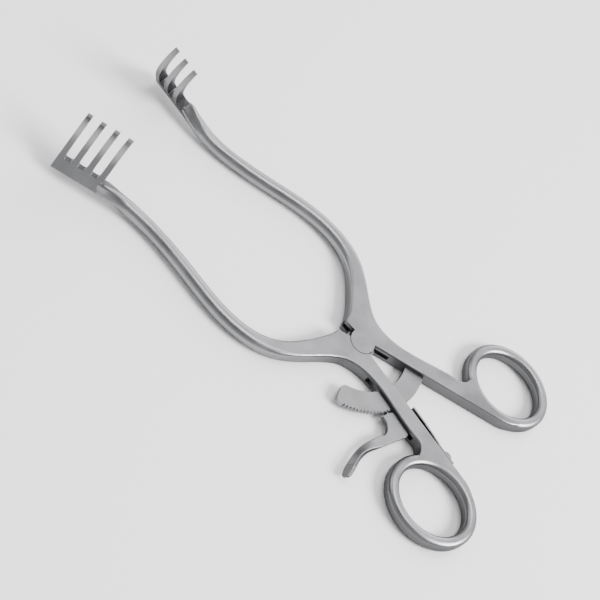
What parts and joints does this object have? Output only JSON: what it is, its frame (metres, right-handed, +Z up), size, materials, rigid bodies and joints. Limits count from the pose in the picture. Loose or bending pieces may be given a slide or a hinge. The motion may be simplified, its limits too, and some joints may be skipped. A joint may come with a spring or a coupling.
{
  "type": "self retaining retractor",
  "caption": "Self-retaining surgical retractor with finger rings, bowed arms, pronged blades, a toothed ratchet bar and a sprung release lever.",
  "frame": {"origin": "On the joint axis, at the flat underside that the instrument rests on", "axes": "+X towards the finger rings, +Y towards the three-prong arm, +Z up, the way the prongs point"},
  "size_m": [0.1963, 0.0954, 0.0288],
  "materials": {
    "satin_steel": "fine satin, ground",
    "spring_steel": "polished strip"
  },
  "bodies": {
    "root": {"four_prong_arm": "satin_steel", "lever_pin": "satin_steel", "leaf_spring": "spring_steel", "spring_screw": "spring_steel"},
    "three_prong_side": {"three_prong_arm": "satin_steel", "joint_pin": "satin_steel", "ratchet_bar": "satin_steel", "ratchet_rivets": "satin_steel"},
    "lever": {"release_lever": "satin_steel"}
  },
  "joints": [
    {"name": "arm_hinge", "type": "hinge", "parent": "root", "child": "three_prong_side", "pos_m": [0, 0, 0], "axis": [0, 0, -1], "range_deg": [-20.3, 26.1]},
    {"name": "lever_hinge", "type": "hinge", "parent": "root", "child": "lever", "pos_m": [0.0283, -0.0109, 0.003], "axis": [0, 0, 1], "range_deg": [-5.87, 10], "stiffness_Nm_per_rad": 0.02, "deforming": ["leaf_spring"]}
  ]
}
